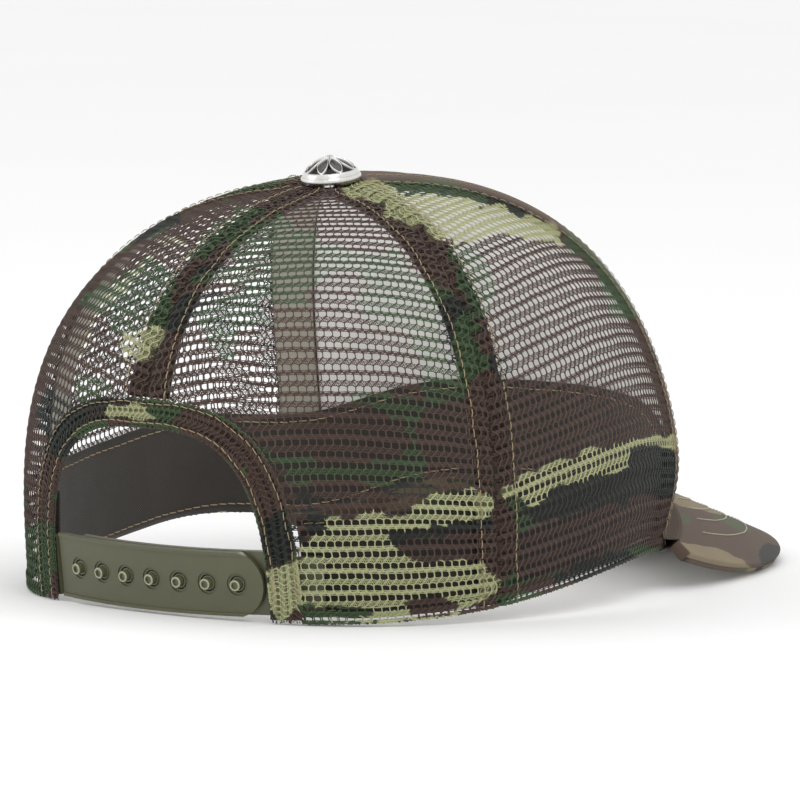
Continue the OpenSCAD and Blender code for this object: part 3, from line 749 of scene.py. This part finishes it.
TAPES = [("front_seam_tape_left", 55.0, 0.6), ("front_seam_tape_right", 305.0, 0.6), ("side_seam_tape_left", 109.7, 0.6),
         ("side_seam_tape_right", 250.3, 0.6), ("back_seam_tape", 180.0, ARCH_H + BIND * 0.88 + 0.7)]
for name, t, h0 in TAPES:
    th = rad(t)
    v = np.linspace(0, 1, 90)
    p = spread(p_high(np.array(th), h0), p_top(np.array(th), 3.4), v)
    r = radius(np.full_like(p, th), p)
    half = np.minimum(5.8, 0.42 * r)
    uu = np.linspace(-1, 1, 13)
    T = th + half[:, None] / r[:, None] * uu
    PH = np.repeat(p[:, None], 13, 1)
    rough = 0.1 * (fbm(uu[None] * 3 + 5, v[:, None] * 60, 61) - 0.5)
    A = crown0(T, PH) + (-0.95 + rough)[..., None] * normal(T, PH)
    Bi = crown0(T, PH) + (-1.55 + rough)[..., None] * normal(T, PH)
    Vx, Fx = sheet_mesh(A, Bi)
    L = np.concatenate([[0], np.cumsum(np.linalg.norm(np.diff(A[:, 6], axis=0), axis=-1))])
    S, LL = np.broadcast_to(uu * 5.8, T.shape), np.repeat(L[:, None], 13, 1)
    idx = visible_index(crown0(T, PH), print_index(S + 40, LL, int(t)), 7)
    # the face towards the net is the print at half brightness with dark brown added, a painted shade under the net; the
    # inner face keeps the tape's own pale colour
    c = (YARN[idx] * 0.5 + lin(60, 52, 46) * 0.15).reshape(-1, 3)
    ob = make(name + "_cloth", Vx, Fx, np.concatenate([c, c * 0 + lin(150, 146, 136)]), grid_uv(*T.shape), np.concatenate([np.stack([S, LL], -1).reshape(-1, 2)] * 2), M_TAPE)
    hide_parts(name)
    under = {"f": "front_panel_cloth", "s": "side_panel_right_net" if "right" in ob.name else "side_panel_left_net", "b": "back_panel_left_net"}[ob.name[0]]
    min(area_of(A) * 1e-6, 0.0116 * float(L[-1]) * 1e-3)

# ------------------------------------------------------------------ binding of the rear opening
aa = rad(np.linspace(0, 180, 361))


def arch_point(a, f):
    b = np.where(a > pi / 2, pi - a, a)
    w, h = ARCH_W + BIND * f, ARCH_H + BIND * 0.88 * f
    x = w * np.abs(np.cos(b)) ** (2 / AM)
    z = h * np.clip(np.sin(b), 0, 1) ** (2 / AM)
    t = t_at(x, z)
    return np.where(a > pi / 2, 2 * pi - t, t), p_high(t, z)


tm, pmid = arch_point(aa, np.full_like(aa, 0.5))
Q = crown0(tm, pmid)
arc = np.concatenate([[0], np.cumsum(np.linalg.norm(np.diff(Q, axis=0), axis=-1))])
NA, NF = 361, 700
fgrid = np.linspace(-0.05, 1.05, 12)
AT, APH = [], []
for f in fgrid:
    t, p = arch_point(aa, np.full_like(aa, f))
    AT.append(t); APH.append(p)
AT, APH = np.array(AT), np.array(APH)


def arch_at(s, v):
    x = np.clip((v / BIND + 0.05) / 0.1, 0, 10.999)
    y = np.clip(np.interp(s, arc, np.arange(NA)), 0, NA - 1.001)
    return bil(AT, x, y), bil(APH, x, y), (s > 0.4) & (s < arc[-1] - 0.4) & (v > 0.15) & (v < BIND - 0.1)


def wrap_at(s, v):
    """v from -BIND, inside, round the fold at 0, to BIND, outside."""
    th, ph, ins = arch_at(s, np.clip(np.sqrt(v * v + 0.16) - 0.4, 0.0, BIND))
    return th, ph, (s > 0.4) & (s < arc[-1] - 0.4) & (np.abs(v) < BIND - 0.1)


def wrap_off(th, ph, s, v):
    return 0.14 + 0.5 * np.tanh(v / 0.7) + 0.14 * (noise(s / 3.0, v / 2.0, 88) - 0.5)


pile = Pile()
net_fill(pile, wrap_at, (0, arc[-1]), (-BIND, BIND), wrap_off, camo_on(203), phase=(0, 0.03), px=1.75, vy=4.3, wob=0.16, seed=5)
# the inner layer of the binding's net at 0.8: painted shade
net_fill(pile, wrap_at, (0, arc[-1]), (-2.5, BIND), lambda th, ph, s, v: wrap_off(th, ph, s, v) - 0.2 * np.tanh(v / 0.7), camo_on(207, dim=0.8), phase=(0.5, 0.45), px=1.95, vy=4.7, wob=0.16, seed=8)
s = np.arange(0.4, arc[-1] - 0.4, 0.6)
for vv, o, r in ((BIND - 0.3, 0.62, 0.22), (BIND - 0.7, 0.45, 0.2), (0.35, 0.35, 0.22), (0.2, -0.1, 0.22)):
    v_ = vv + 0.28 * np.sin(s * 2 * pi / 1.75 + o) + 0.3 * (noise(s / 2.6, s * 0 + vv, 61) - 0.5)
    th, ph, _ = arch_at(s, v_)
    N = normal(th, ph)
    P0 = crown0(th, ph)
    V, F = tubes((P0 + (o + 0.1 * np.sin(s * 2.9 + o * 9))[:, None] * N)[None], N[None], r, 4)
    pile.add(V, F, camo_on(203)(P0, s, v_)[None], np.stack([s, v_ + o], -1)[None], np.stack([s, v_ + o], -1)[None])
sg, vg = np.meshgrid(np.linspace(0.5, arc[-1] - 0.5, 260), np.linspace(0.5, BIND - 0.4, 9))
Tc, Pc, _ = arch_at(sg, vg)
Ac, Bc = crown(Tc, Pc, np.full(Tc.shape, 0.22)), crown(Tc, Pc, np.full(Tc.shape, -0.12))
Vx, Fx = sheet_mesh(Ac, Bc)
# the core carries the print at 0.42: painted shade inside the folded binding
cc_ = (YARN[visible_index(crown0(Tc, Pc), print_index(sg, vg, 209), 209)] * 0.42).reshape(-1, 3)
core = make("rear_opening_binding_core", Vx, Fx, np.concatenate([cc_, cc_]), grid_uv(*Tc.shape), np.concatenate([np.stack([sg, vg], -1).reshape(-1, 2)] * 2), M_TAPE)
min(area_of(Ac) * 1e-6, 0.0104 * float(arc[-1]) * 1e-3)
bind = pile.make("rear_opening_binding_net", M_MESH)
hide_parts("rear_opening_binding")

# ------------------------------------------------------------------ sweatband
te = float(t_at(np.array(45.0), np.array(10.0)))
u, v = np.linspace(-1, 1, 260), np.linspace(0, 1, 22)
U, VV = np.meshgrid(u, v)
T = U * te
Hh = 0.7 + 28.2 * VV
PH = p_high(T, Hh)
roll = np.sqrt(np.clip(1 - (2 * np.clip(VV, 0, 1) - 1) ** 8, 0.1, 1))
wv = 0.35 * (fbm(U * 26, VV * 3, 411) - 0.5) - 1.75 * np.clip((crown0(T, PH)[..., 1] - 74.5) / 4.0, 0, 1) ** 2 * (crown0(T, PH)[..., 1] > 0)
P0 = crown0(T, PH)
A = P0 + (-3.55 + 0.55 * roll + wv)[..., None] * normal(T, PH)
Bi = P0 + (-3.6 - 0.55 * roll + wv)[..., None] * normal(T, PH)
Vx, Fx = sheet_mesh(A, Bi)
mm = np.stack([U * 260, Hh], -1).reshape(-1, 2)
c = np.tile(lin(46, 42, 38), (len(Vx), 1))
sweat = make("sweatband_cloth", Vx, Fx, c, grid_uv(*U.shape), np.concatenate([mm] * 2), M_BAND)
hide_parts("sweatband")

# ------------------------------------------------------------------ brim covers
n = 221
u = np.linspace(-1, 1, n)
bt, ba = rad(61.0) * u, rad(84.5) * np.sign(u) * np.abs(u) ** 1.08


def brim_rows(rows):
    g = []
    for share, off, d in rows:
        AX, AS = brim_in(bt, 0.9)
        CX, CS = brim_out(ba, off)
        X, S = AX + (CX - AX) * share, AS + (CS - AS) * share
        g.append(board(X, S, d + (0.10 * (fbm(X / 9, S / 9, 515) - 0.5) if 0.02 < share < 0.99 else 0)))
    return np.array(g)


def brim_mm(rows):
    g = []
    for share, off, d in rows:
        AX, AS = brim_in(bt, 0.9)
        CX, CS = brim_out(ba, off)
        g.append(np.stack([AS + (CS - AS) * share, AX + (CX - AX) * share + (1 - share) * 0], -1))
    return np.array(g)


vs = np.linspace(0, 1, 61)
ring = lambda *r: [tuple(x) for x in r]
top_o = [(x, 0.35, 0.74) for x in vs] + ring((1, 0.12, 0.62), (1, 0.02, 0.4), (1, 0.0, 0.1), (1, 0.0, -0.4), (1, 0.02, -0.94))
top_i = [(x, 1.2, 0.02) for x in vs] + ring((1, 1.05, 0.0), (1, 0.95, -0.05), (1, 0.88, -0.2), (1, 0.82, -0.5), (1, 0.8, -0.94))
und_o = [(x, 1.2, -2.12) for x in vs] + ring((1, 1.05, -2.1), (1, 0.95, -2.02), (1, 0.88, -1.8), (1, 0.82, -1.5), (1, 0.8, -1.06))
und_i = [(x, 0.35, -2.82) for x in vs] + ring((1, 0.12, -2.7), (1, 0.02, -2.5), (1, 0.0, -2.2), (1, 0.0, -1.6), (1, 0.02, -1.06))
for name, ro, ri, seed, top in (("brim_top_cover", top_o, top_i, 611, True), ("brim_under_cover", und_o, und_i, 641, False)):
    A, Bi = brim_rows(ro), brim_rows(ri)
    Vx, Fx = sheet_mesh(A, Bi)
    mo, mi = brim_mm(ro), brim_mm(ri)
    c = print_index(mo[..., 0], mo[..., 1], seed)
    c = TWILL[visible_index(A, c, seed, True) if top else c].reshape(-1, 3)
    ci = TWILL[print_index(mi[..., 0], mi[..., 1], seed)].reshape(-1, 3)
    ob = make(name + "_cloth", Vx, Fx, np.concatenate([c, ci]), grid_uv(*A.shape[:2]), np.concatenate([mo.reshape(-1, 2), mi.reshape(-1, 2)]), M_TWILL)
    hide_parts(name)
    min(area_of(A) * 1e-6, 0.185 * 0.105)


th = rad(np.linspace(-61, 61, 221))
AX, AS = brim_in(th, 0.9)
PX_, PS_ = brim_out(rad(84.5) * np.sign(th) * np.abs(th / rad(61)) ** 1.08, 1.0)
for name, d, sg in (("brim_seam_top", 0.72, 1), ("brim_seam_under", -2.8, -1)):
    Pb = board(AX, AS, d)
    Po = board(AX + (PX_ - AX) * 0.035, AS + (PS_ - AS) * 0.035, d + 0.12 * sg)
    hb = Pb[:, 2] - zrim(th)
    if sg > 0:
        rows_ = [Po, board(AX, AS, d + 0.45)] + [crown(th, p_high(th, hb + e), np.full_like(th, o)) for e, o in ((0.9, 0.8), (1.9, 0.62), (2.6, 0.35))]
    else:
        rows_ = [Po, board(AX, AS, d - 0.3)] + [crown(th, p_high(th, np.full_like(th, e)), np.full_like(th, o)) for e, o in ((-0.0, 0.1), (0.05, -1.4), (0.6, -3.1))]
        rows_[2][:, 2] = np.minimum(rows_[2][:, 2], rows_[1][:, 2]) - 0.25
        rows_[3][:, 2] = np.minimum(rows_[3][:, 2], rows_[1][:, 2]) - 0.2
    A = np.array(rows_)
    t_ = np.linspace(0, 4, 13)
    A = np.stack([A[int(min(x, 3.999))] * (1 - (x - int(min(x, 3.999)))) + A[int(min(x, 3.999)) + 1] * (x - int(min(x, 3.999))) for x in t_])
    Bi = A.copy(); Bi[..., 2] -= 0.3 * sg
    Vx, Fx = sheet_mesh(A, Bi)
    mmx = np.stack([np.broadcast_to(th * 90, A.shape[:2]), np.broadcast_to(t_[:, None] * 1.5, A.shape[:2])], -1)
    # the print at 0.9 on the strips where brim meets crown: painted shade in that crease
    c = TWILL[visible_index(A, print_index(mmx[..., 0] + 30, mmx[..., 1], 700), 700)].reshape(-1, 3) * 0.9
    ob = make(name, Vx, Fx, np.concatenate([c, c]), grid_uv(*A.shape[:2]), np.concatenate([mmx.reshape(-1, 2)] * 2), M_TWILL)
for side, sg in (("left", 1), ("right", -1)):
    q = np.linspace(0, 1, 10)
    ds = np.linspace(0.74, -2.84, 9)
    CX, CS = brim_out(np.array(rad(84.5) * sg), 0.0)
    ex, es = brim_in(np.array([rad(61.0) * sg]), 0.9)
    X, S = ex[0] + (CX - ex[0]) * q, es[0] + (CS - es[0]) * q
    run = unit(np.array([CX - ex[0], CS - es[0]]))
    nx, ns = -run[1] * sg, run[0] * sg
    if nx > 0:
        nx, ns = -nx, -ns
    g = []
    for k_ in (1.0, 0.0):
        g.append(np.array([board(X + nx * (0.15 + 0.75 * k_ * math.sin(pi * (0.74 - d) / 3.58) ** 0.6), S + ns * (0.15 + 0.75 * k_ * math.sin(pi * (0.74 - d) / 3.58) ** 0.6), d) for d in np.clip(ds, -2.839, 0.739)]))
    Vx, Fx = sheet_mesh(g[0], g[1])
    mmx = np.stack(np.meshgrid(q * 8, ds), -1)
    c = np.tile(TWILL[BROWN], (len(Vx), 1))
    ob = make(f"brim_end_fold_{side}", Vx, Fx, c, grid_uv(*g[0].shape[:2]), np.concatenate([mmx.reshape(-1, 2)] * 2), M_TWILL)


# ------------------------------------------------------------------ stitches
def resample(P, N, step):
    d = np.concatenate([[0], np.cumsum(np.linalg.norm(np.diff(P, axis=0), axis=-1))])
    s = np.arange(0, d[-1], step)
    f = lambda X: np.stack([np.interp(s, d, X[:, i]) for i in range(3)], -1)
    return f(P), unit(f(N)), s


def stitches(pile, P, N, pitch=2.7, r=0.17, lift=0.2, jig=0.12, seed=0, share=0.86):
    Q, M, s = resample(P, N, pitch / 8)
    n = (len(Q) - 1) // 8
    if n < 1:
        return
    k = np.arange(n)[:, None] * 8 + np.linspace(0.5, 8 * share, 6)[None]
    ki = np.clip(k, 0, len(Q) - 1.001)
    i0 = ki.astype(int)
    f = (ki - i0)[..., None]
    P_, N_ = Q[i0] * (1 - f) + Q[i0 + 1] * f, unit(M[i0] * (1 - f) + M[i0 + 1] * f)
    T = unit(np.gradient(P_, axis=1))
    side = np.cross(T, N_)
    w = jig * 2 * (noise(s[i0] / 6.0, s[i0] * 0 + seed, 900 + seed) - 0.5)
    tilt = (np.linspace(-1, 1, 6)[None] * (0.07 + 0.05 * hash2(np.arange(n) + 0.0, np.arange(n) + 0.0, 33 + seed)[:, None]))
    prof = np.array([-0.3, 0.6, 1.0, 1.0, 0.6, -0.3]) * lift
    P_ = P_ + (prof[None] + 0.02)[..., None] * N_ + (w + tilt)[..., None] * side
    V, F = tubes(P_, N_, np.array([0.8, 1, 1.05, 1.05, 1, 0.8]) * r, 5, 0.9)
    z = np.zeros(P_.shape[:2] + (2,))
    z[..., 0] = s[i0]
    z[..., 1] = seed
    pile.add(V, F, np.ones(P_.shape), z, z)


crown_thread = Pile()
k = 0
for t, h0 in ((55.0, 0.4), (109.7, 0.4), (180.0, ARCH_H + BIND * 0.88 + 0.2), (250.3, 0.4), (305.0, 0.4)):
    th = rad(t)
    p = spread(p_high(np.array(th), h0), p_top(np.array(th), 8.8), np.linspace(0, 1, 160))
    r = radius(np.full_like(p, th), p)
    for sgn in (-1, 1):
        half = np.minimum(5.5, 0.4 * r)
        T = th + sgn * half / r
        k += 1
        stitches(crown_thread, crown(T, p, 0.62 + puff(T, p)), normal(T, p), seed=k, jig=0.34, r=0.14)
for vv, sd in ((1.6, 21), (BIND - 1.2, 22)):
    s = np.linspace(0.8, arc[-1] - 0.8, 400)
    th, ph, _ = arch_at(s, np.full_like(s, vv))
    stitches(crown_thread, crown(th, ph, np.full_like(th, 0.98)), normal(th, ph), seed=sd, jig=0.28, r=0.135)
ob = crown_thread.make("crown_stitching", M_THREAD)

inner = Pile()
s = np.linspace(-te * 0.99, te * 0.99, 900)
for hh, off in ((2.6, -4.25), (26.6, -4.3)):
    ph = p_high(s, np.full_like(s, hh))
    stitches(inner, crown(s, ph, np.full_like(s, off)), -normal(s, ph), seed=int(hh), pitch=3.0)
ob = inner.make("sweatband_stitching", M_THREAD)

brim_thread = Pile()
for off in (12.0, 19.0, 25.0, 31.0, 38.0, 45.0):
    a = rad(np.linspace(-88, 88, 500))
    X, S = brim_out(a, off)
    for d, sg in ((0.78, 1), (-2.88, -1)):
        P = board(X, S, d)
        N = unit(board(X, S, d + 1) - P) * sg
        out = (np.abs(P[:, 0]) / (B + 4.5)) ** 2.2 + (np.abs(P[:, 1]) / (AF + 3.0)) ** 2.2 > 1.0
        out &= P[:, 1] < -30
        if out.sum() > 10:
            stitches(brim_thread, P[out], N[out], pitch=3.0, r=0.17, lift=0.16, seed=int(off), jig=0.08)
ob = brim_thread.make("brim_stitching", M_THREAD_PALE)

# ------------------------------------------------------------------ the button: a domed openwork of plain leaves, drawn in relief, its colour painted light and shade from that relief
b0z = H + 0.5 + 0.25 + 0.9
bR_, bH_ = 8.4, 5.7
bS = (bR_ ** 2 + bH_ ** 2) / (2 * bH_)
nr, na = 130, 480
R_ = np.linspace(0, 1, nr)[:, None] * np.ones((1, na + 1))
A_ = np.linspace(0, 2 * pi, na + 1)[None] * np.ones((nr, 1))
rr = R_ * (bR_ - 0.1)
dome = bH_ - bS + np.sqrt(np.clip(bS ** 2 - rr ** 2, 0, None)) + 0.7 * np.exp(-((R_ / 0.13) ** 2))
turn_ = A_ + 0.35 * R_ * (1 - R_) * 2                                                    # the leaves lean a little
cell_ = np.abs(((turn_ * 8 / (2 * pi)) % 1) - 0.5) * 2                                    # 1 between leaves, 0 on a leaf's middle line
width_ = np.clip(np.sin(pi * np.clip((R_ - 0.1) / 0.74, 0, 1)) ** 0.7, 0, 1) * 0.86       # half width of a leaf at this radius
line = lambda d, w: np.exp(-((d / w) ** 2))
edge_ = line((cell_ - width_) * R_ * 3.3, 0.2) * (R_ > 0.1) * (R_ < 0.86)
vein = line(cell_ * R_ * 3.3, 0.13) * (R_ > 0.16) * (R_ < 0.62)
inside = (cell_ < width_) & (R_ > 0.14) & (R_ < 0.82)
between = (cell_ > width_) & (R_ > 0.3) & (R_ < 0.83)
rim_ = line(R_ - 0.9, 0.045) + 0.9 * line(R_ - 0.985, 0.02)
relief = 0.42 * edge_ + 0.26 * vein + 0.4 * rim_ - 0.42 * inside * (1 - edge_) - 0.62 * between * (1 - edge_) - 0.1
relief += 0.06 * (noise(A_ * 14, R_ * 20, 3) - 0.5)
Pt = np.stack([rr * np.cos(A_), rr * np.sin(A_), b0z + np.clip(dome + relief, 0.25, None)], -1)
Pb = Pt.copy()
Pb[..., 2] = b0z + np.where(R_ > 0.9, -1.0, np.minimum(np.maximum(dome - 1.6, 0.5), Pt[..., 2] - b0z - 0.15))
Pb[..., 2] = np.minimum(Pb[..., 2], Pt[..., 2] - 0.1)
Vx, Fx = sheet_mesh(Pt, Pb)
# painted light and shade: raised edges, veins and rim lighter as a painted highlight, hollows darker and the gaps
# between leaves near black as painted shade
shade = np.clip(0.12 + 1.5 * np.clip(relief + 0.28, 0, 1), 0.03, 0.72)
shade = np.where(between & (edge_ < 0.4), 0.035, shade)[..., None] * np.array([1.0, 0.985, 0.96])
uvb = np.stack([0.5 + 0.49 * R_ * np.cos(A_), 0.5 + 0.49 * R_ * np.sin(A_)], -1).reshape(-1, 2)
# the underside at 0.3 of the top's colour is painted shade under the ornament
btn = make("button_ornament", Vx, Fx, np.concatenate([shade.reshape(-1, 3), shade.reshape(-1, 3) * 0.3]), np.concatenate([uvb] * 2), np.concatenate([uvb * 16] * 2), M_SILVER)
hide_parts("button_shell")

# ------------------------------------------------------------------ pegs: a dimpled head and a tapered collar on each; the heads' pale, glossy colour is a painted highlight
def lathe(profile, at, axis, n=40):
    """Turned ring profile [(r, h)] about axis at a point; closed loop of points."""
    a = np.linspace(0, 2 * pi, n, endpoint=False)
    x = unit(np.cross(axis, [0, 0, 1.0])); y = np.cross(axis, x)
    k = len(profile)
    V = np.array([[at + r * (math.cos(t) * x + math.sin(t) * y) + h * axis for r, h in profile] for t in a])
    i, j = np.meshgrid(np.arange(n), np.arange(k), indexing="ij")
    i2, j2 = (i + 1) % n, (j + 1) % k
    return V.reshape(-1, 3), np.stack([i * k + j, i2 * k + j, i2 * k + j2, i * k + j2], -1).reshape(-1, 4)


SO, R_HOLE, R_PEG = -(142 - AB), 142 - 1.6, 142 - 3.6
caps, collars = [[], [], 0], [[], [], 0]
for i in range(7):
    q = (i - 3) * 9.16 / 142
    ax = np.array([math.sin(q), math.cos(q), 0.0])
    base = np.array([0, SO, 0.4 + 8.7])
    top = R_HOLE + 0.75 + 1.5
    for store, prof in ((caps, [(1.02, top - 0.12), (1.08, top + 0.05), (1.22, top + 0.1), (1.42, top + 0.02), (1.5, top - 0.16), (1.5, top - 0.34), (1.2, top - 0.5), (1.02, top - 0.4)]),
                        (collars, [(1.36, R_PEG + 0.7), (2.12, R_PEG + 0.7), (2.0, R_HOLE + 0.2), (1.92, R_HOLE + 0.36), (1.78, R_HOLE + 0.42), (1.55, R_HOLE + 0.36), (1.36, R_HOLE + 0.3)])):
        V, F = lathe(prof, base, ax)
        store[0].append(V); store[1].append(F + store[2]); store[2] += len(V)
# the pale colour of the peg heads is a painted highlight, standing in for the bright rims of the olive pegs
M_PEG_HIGHLIGHT = plain_material("olive_plastic_peg_head", lin(158, 156, 128), 0.22, 0.08, 300, bump_d=0.00003, bump_s=0.2, spec=0.8)
for name, store, mat in (("peg_heads", caps, M_PEG_HIGHLIGHT), ("peg_collars", collars, M_PEG)):
    F = np.concatenate(store[1])
    ob = make(name, np.concatenate(store[0]), F[:, ::-1], None, None, None, mat, "peg_strap_body")

# ------------------------------------------------------------------ finishes of the CAD pieces that stay
for node, mat in (("brim_board", M_BOARD), ("hole_strap", M_STRAP), ("hole_strap_anchor", M_STRAP), ("peg_strap", M_PEG),
                  ("peg_strap_anchor", M_PEG), ("button_insert", M_DARK), ("button_shank", M_STEEL), ("button_backing_disc", M_STEEL)):
    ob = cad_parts[node]
    if not ob.material_slots:
        ob.data.materials.append(mat)
    for sl in ob.material_slots:
        sl.material = mat

# area of each net, at most its width times its length; the value is not kept
for name, (ob, W, L, A) in panel_piece.items():
    min(A, W * L) * 1e-6

# ------------------------------------------------------------------ floor, light, camera settings
bpy.ops.mesh.primitive_plane_add(size=24, location=(0, 0, -0.0002))
floor = bpy.context.object
floor.name = "floor"
fm, fnt, fb = new_mat("floor_paper")
fr = fnt.nodes.new("ShaderNodeValToRGB")
fr.color_ramp.elements[0].color, fr.color_ramp.elements[1].color = (0.9, 0.9, 0.9, 1), (0.93, 0.93, 0.93, 1)
fnt.links.new(noise_node(fnt, coords(fnt, False), 3.0), fr.inputs[0])
fnt.links.new(fr.outputs[0], fb.inputs["Base Color"])
fb.inputs["Roughness"].default_value = 0.9
floor.data.materials.append(fm)

world = bpy.data.worlds.new("studio")
bpy.context.scene.world = world
world.use_nodes = True
bg = world.node_tree.nodes["Background"]
bg.inputs["Color"].default_value = (1, 1, 1, 1)
bg.inputs["Strength"].default_value = 1.0


def area(name, at, look, size, power):
    d = bpy.data.lights.new(name, "AREA")
    d.shape, d.size, d.energy = "DISK", size, power
    o = bpy.data.objects.new(name, d)
    bpy.context.scene.collection.objects.link(o)
    o.location = at
    o.rotation_mode = "QUATERNION"
    o.rotation_quaternion = (Vector(look) - Vector(at)).to_track_quat("-Z", "Y")


area("key", (-0.9, 0.9, 1.4), (0, 0.03, 0.05), 1.1, 6)
area("fill", (1.2, 1.0, 0.8), (0, 0.03, 0.05), 1.2, 2.5)
area("top", (0.1, -0.2, 1.8), (0, 0, 0.05), 1.5, 1.5)
glow = bpy.data.lights.new("inside_glow", "POINT")
glow.shadow_soft_size, glow.energy = 0.03, 0.12
go = bpy.data.objects.new("inside_glow", glow)
bpy.context.scene.collection.objects.link(go)
go.location = (0.0, 0.035, 0.06)
go.visible_camera = False
bpy.context.scene.view_settings.view_transform = "Standard"
